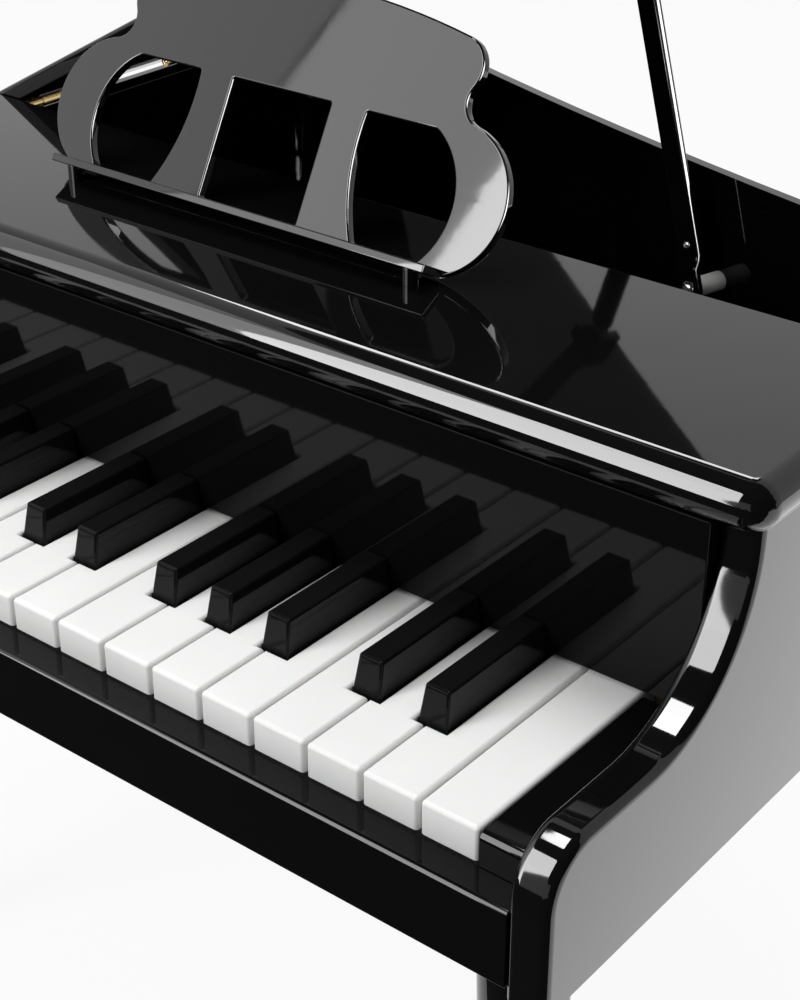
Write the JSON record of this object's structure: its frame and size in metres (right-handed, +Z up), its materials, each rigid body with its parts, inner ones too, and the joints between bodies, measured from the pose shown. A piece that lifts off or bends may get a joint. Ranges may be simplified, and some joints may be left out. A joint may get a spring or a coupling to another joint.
{
  "type": "toy piano",
  "caption": "Black lacquered toy baby grand piano with sprung keys that strike tone rods, a propped lid on a side hinge, a pierced music desk and turned legs.",
  "frame": {"origin": "middle of the object's box on the floor, under the foot pads", "axes": "+X to the player's right along the keyboard, +Y from the player to the tail, +Z up"},
  "size_m": [0.4936, 0.4632, 0.6062],
  "materials": {
    "black_lacquer": "high-gloss black lacquer over wood",
    "bare_wood": "sanded, unfinished",
    "white_plastic": "gloss white, moulded",
    "black_plastic": "gloss black, moulded",
    "felt": "pressed charcoal wool felt",
    "steel": "drawn bright steel",
    "dark_steel": "spring steel, blued dark",
    "cast_bar": "cast, plain",
    "brass": "polished sheet brass",
    "black_enamel": "gloss black enamel on steel bar",
    "grey_nylon": "moulded nylon",
    "pad_rubber": "matt rubber"
  },
  "bodies": {
    "case": {"right_side": "black_lacquer", "left_side": "black_lacquer", "bent_side": "black_lacquer", "bottom_board": "black_lacquer", "key_slip": "black_lacquer", "cheek_blocks": "black_lacquer", "fallboard": "black_lacquer", "top_board": "black_lacquer", "music_desk": "black_lacquer", "desk_ledge": "black_lacquer", "legs": "black_lacquer", "desk_pegs": "black_lacquer", "front_rail": "bare_wood", "back_rail": "bare_wood", "balance_rail": "bare_wood", "tone_beam": "bare_wood", "key_felts": "felt", "key_pivot_rod": "steel", "tone_rods": "dark_steel", "tone_bar_screws": "steel", "prop_pivot_screw": "steel", "hinge_pins": "steel", "tone_bar": "cast_bar", "case_hinge_leaves": "brass", "prop_spacer": "grey_nylon", "foot_pads": "pad_rubber"},
    "lid": {"lid": "black_lacquer", "lid_hinge_leaves": "brass", "prop_cup": "black_plastic"},
    "prop": {"prop_stick": "black_enamel"},
    "white_key_01": {"white_key_01": "white_plastic"},
    "black_key_01": {"black_key_01": "black_plastic"},
    "white_key_02": {"white_key_02": "white_plastic"},
    "black_key_02": {"black_key_02": "black_plastic"},
    "white_key_03": {"white_key_03": "white_plastic"},
    "white_key_04": {"white_key_04": "white_plastic"},
    "black_key_03": {"black_key_03": "black_plastic"},
    "white_key_05": {"white_key_05": "white_plastic"},
    "black_key_04": {"black_key_04": "black_plastic"},
    "white_key_06": {"white_key_06": "white_plastic"},
    "black_key_05": {"black_key_05": "black_plastic"},
    "white_key_07": {"white_key_07": "white_plastic"},
    "white_key_08": {"white_key_08": "white_plastic"},
    "black_key_06": {"black_key_06": "black_plastic"},
    "white_key_09": {"white_key_09": "white_plastic"},
    "black_key_07": {"black_key_07": "black_plastic"},
    "white_key_10": {"white_key_10": "white_plastic"},
    "white_key_11": {"white_key_11": "white_plastic"},
    "black_key_08": {"black_key_08": "black_plastic"},
    "white_key_12": {"white_key_12": "white_plastic"},
    "black_key_09": {"black_key_09": "black_plastic"},
    "white_key_13": {"white_key_13": "white_plastic"},
    "black_key_10": {"black_key_10": "black_plastic"},
    "white_key_14": {"white_key_14": "white_plastic"},
    "white_key_15": {"white_key_15": "white_plastic"},
    "black_key_11": {"black_key_11": "black_plastic"},
    "white_key_16": {"white_key_16": "white_plastic"},
    "black_key_12": {"black_key_12": "black_plastic"},
    "white_key_17": {"white_key_17": "white_plastic"},
    "white_key_18": {"white_key_18": "white_plastic"}
  },
  "joints": [
    {"name": "lid_hinge", "type": "hinge", "parent": "case", "child": "lid", "pos_m": [-0.2443, 0, 0.372], "axis": [0, -1, 0], "range_deg": [0, 62]},
    {"name": "prop_pivot", "type": "hinge", "parent": "case", "child": "prop", "pos_m": [0.07379, 0.14272, 0.3225], "axis": [-0.284, -0.9588, 0], "range_deg": [0, 70]},
    {"name": "white_key_01_pivot", "type": "hinge", "parent": "case", "child": "white_key_01", "pos_m": [-0.1955, -0.11335, 0.292], "axis": [1, 0, 0], "range_deg": [0, 3.27], "stiffness_Nm_per_rad": 0.6, "springref_deg": -5.73},
    {"name": "black_key_01_pivot", "type": "hinge", "parent": "case", "child": "black_key_01", "pos_m": [-0.18625, -0.11335, 0.292], "axis": [1, 0, 0], "range_deg": [0, 3.27], "stiffness_Nm_per_rad": 0.6, "springref_deg": -5.73},
    {"name": "white_key_02_pivot", "type": "hinge", "parent": "case", "child": "white_key_02", "pos_m": [-0.1725, -0.11335, 0.292], "axis": [1, 0, 0], "range_deg": [0, 3.27], "stiffness_Nm_per_rad": 0.6, "springref_deg": -5.73},
    {"name": "black_key_02_pivot", "type": "hinge", "parent": "case", "child": "black_key_02", "pos_m": [-0.15875, -0.11335, 0.292], "axis": [1, 0, 0], "range_deg": [0, 3.27], "stiffness_Nm_per_rad": 0.6, "springref_deg": -5.73},
    {"name": "white_key_03_pivot", "type": "hinge", "parent": "case", "child": "white_key_03", "pos_m": [-0.1495, -0.11335, 0.292], "axis": [1, 0, 0], "range_deg": [0, 3.27], "stiffness_Nm_per_rad": 0.6, "springref_deg": -5.73},
    {"name": "white_key_04_pivot", "type": "hinge", "parent": "case", "child": "white_key_04", "pos_m": [-0.1265, -0.11335, 0.292], "axis": [1, 0, 0], "range_deg": [0, 3.27], "stiffness_Nm_per_rad": 0.6, "springref_deg": -5.73},
    {"name": "black_key_03_pivot", "type": "hinge", "parent": "case", "child": "black_key_03", "pos_m": [-0.11837, -0.11335, 0.292], "axis": [1, 0, 0], "range_deg": [0, 3.27], "stiffness_Nm_per_rad": 0.6, "springref_deg": -5.73},
    {"name": "white_key_05_pivot", "type": "hinge", "parent": "case", "child": "white_key_05", "pos_m": [-0.1035, -0.11335, 0.292], "axis": [1, 0, 0], "range_deg": [0, 3.27], "stiffness_Nm_per_rad": 0.6, "springref_deg": -5.73},
    {"name": "black_key_04_pivot", "type": "hinge", "parent": "case", "child": "black_key_04", "pos_m": [-0.092, -0.11335, 0.292], "axis": [1, 0, 0], "range_deg": [0, 3.27], "stiffness_Nm_per_rad": 0.6, "springref_deg": -5.73},
    {"name": "white_key_06_pivot", "type": "hinge", "parent": "case", "child": "white_key_06", "pos_m": [-0.0805, -0.11335, 0.292], "axis": [1, 0, 0], "range_deg": [0, 3.27], "stiffness_Nm_per_rad": 0.6, "springref_deg": -5.73},
    {"name": "black_key_05_pivot", "type": "hinge", "parent": "case", "child": "black_key_05", "pos_m": [-0.06563, -0.11335, 0.292], "axis": [1, 0, 0], "range_deg": [0, 3.27], "stiffness_Nm_per_rad": 0.6, "springref_deg": -5.73},
    {"name": "white_key_07_pivot", "type": "hinge", "parent": "case", "child": "white_key_07", "pos_m": [-0.0575, -0.11335, 0.292], "axis": [1, 0, 0], "range_deg": [0, 3.27], "stiffness_Nm_per_rad": 0.6, "springref_deg": -5.73},
    {"name": "white_key_08_pivot", "type": "hinge", "parent": "case", "child": "white_key_08", "pos_m": [-0.0345, -0.11335, 0.292], "axis": [1, 0, 0], "range_deg": [0, 3.27], "stiffness_Nm_per_rad": 0.6, "springref_deg": -5.73},
    {"name": "black_key_06_pivot", "type": "hinge", "parent": "case", "child": "black_key_06", "pos_m": [-0.02525, -0.11335, 0.292], "axis": [1, 0, 0], "range_deg": [0, 3.27], "stiffness_Nm_per_rad": 0.6, "springref_deg": -5.73},
    {"name": "white_key_09_pivot", "type": "hinge", "parent": "case", "child": "white_key_09", "pos_m": [-0.0115, -0.11335, 0.292], "axis": [1, 0, 0], "range_deg": [0, 3.27], "stiffness_Nm_per_rad": 0.6, "springref_deg": -5.73},
    {"name": "black_key_07_pivot", "type": "hinge", "parent": "case", "child": "black_key_07", "pos_m": [0.00225, -0.11335, 0.292], "axis": [1, 0, 0], "range_deg": [0, 3.27], "stiffness_Nm_per_rad": 0.6, "springref_deg": -5.73},
    {"name": "white_key_10_pivot", "type": "hinge", "parent": "case", "child": "white_key_10", "pos_m": [0.0115, -0.11335, 0.292], "axis": [1, 0, 0], "range_deg": [0, 3.27], "stiffness_Nm_per_rad": 0.6, "springref_deg": -5.73},
    {"name": "white_key_11_pivot", "type": "hinge", "parent": "case", "child": "white_key_11", "pos_m": [0.0345, -0.11335, 0.292], "axis": [1, 0, 0], "range_deg": [0, 3.27], "stiffness_Nm_per_rad": 0.6, "springref_deg": -5.73},
    {"name": "black_key_08_pivot", "type": "hinge", "parent": "case", "child": "black_key_08", "pos_m": [0.04263, -0.11335, 0.292], "axis": [1, 0, 0], "range_deg": [0, 3.27], "stiffness_Nm_per_rad": 0.6, "springref_deg": -5.73},
    {"name": "white_key_12_pivot", "type": "hinge", "parent": "case", "child": "white_key_12", "pos_m": [0.0575, -0.11335, 0.292], "axis": [1, 0, 0], "range_deg": [0, 3.27], "stiffness_Nm_per_rad": 0.6, "springref_deg": -5.73},
    {"name": "black_key_09_pivot", "type": "hinge", "parent": "case", "child": "black_key_09", "pos_m": [0.069, -0.11335, 0.292], "axis": [1, 0, 0], "range_deg": [0, 3.27], "stiffness_Nm_per_rad": 0.6, "springref_deg": -5.73},
    {"name": "white_key_13_pivot", "type": "hinge", "parent": "case", "child": "white_key_13", "pos_m": [0.0805, -0.11335, 0.292], "axis": [1, 0, 0], "range_deg": [0, 3.27], "stiffness_Nm_per_rad": 0.6, "springref_deg": -5.73},
    {"name": "black_key_10_pivot", "type": "hinge", "parent": "case", "child": "black_key_10", "pos_m": [0.09538, -0.11335, 0.292], "axis": [1, 0, 0], "range_deg": [0, 3.27], "stiffness_Nm_per_rad": 0.6, "springref_deg": -5.73},
    {"name": "white_key_14_pivot", "type": "hinge", "parent": "case", "child": "white_key_14", "pos_m": [0.1035, -0.11335, 0.292], "axis": [1, 0, 0], "range_deg": [0, 3.27], "stiffness_Nm_per_rad": 0.6, "springref_deg": -5.73},
    {"name": "white_key_15_pivot", "type": "hinge", "parent": "case", "child": "white_key_15", "pos_m": [0.1265, -0.11335, 0.292], "axis": [1, 0, 0], "range_deg": [0, 3.27], "stiffness_Nm_per_rad": 0.6, "springref_deg": -5.73},
    {"name": "black_key_11_pivot", "type": "hinge", "parent": "case", "child": "black_key_11", "pos_m": [0.13575, -0.11335, 0.292], "axis": [1, 0, 0], "range_deg": [0, 3.27], "stiffness_Nm_per_rad": 0.6, "springref_deg": -5.73},
    {"name": "white_key_16_pivot", "type": "hinge", "parent": "case", "child": "white_key_16", "pos_m": [0.1495, -0.11335, 0.292], "axis": [1, 0, 0], "range_deg": [0, 3.27], "stiffness_Nm_per_rad": 0.6, "springref_deg": -5.73},
    {"name": "black_key_12_pivot", "type": "hinge", "parent": "case", "child": "black_key_12", "pos_m": [0.16325, -0.11335, 0.292], "axis": [1, 0, 0], "range_deg": [0, 3.27], "stiffness_Nm_per_rad": 0.6, "springref_deg": -5.73},
    {"name": "white_key_17_pivot", "type": "hinge", "parent": "case", "child": "white_key_17", "pos_m": [0.1725, -0.11335, 0.292], "axis": [1, 0, 0], "range_deg": [0, 3.27], "stiffness_Nm_per_rad": 0.6, "springref_deg": -5.73},
    {"name": "white_key_18_pivot", "type": "hinge", "parent": "case", "child": "white_key_18", "pos_m": [0.1955, -0.11335, 0.292], "axis": [1, 0, 0], "range_deg": [0, 3.27], "stiffness_Nm_per_rad": 0.6, "springref_deg": -5.73}
  ]
}
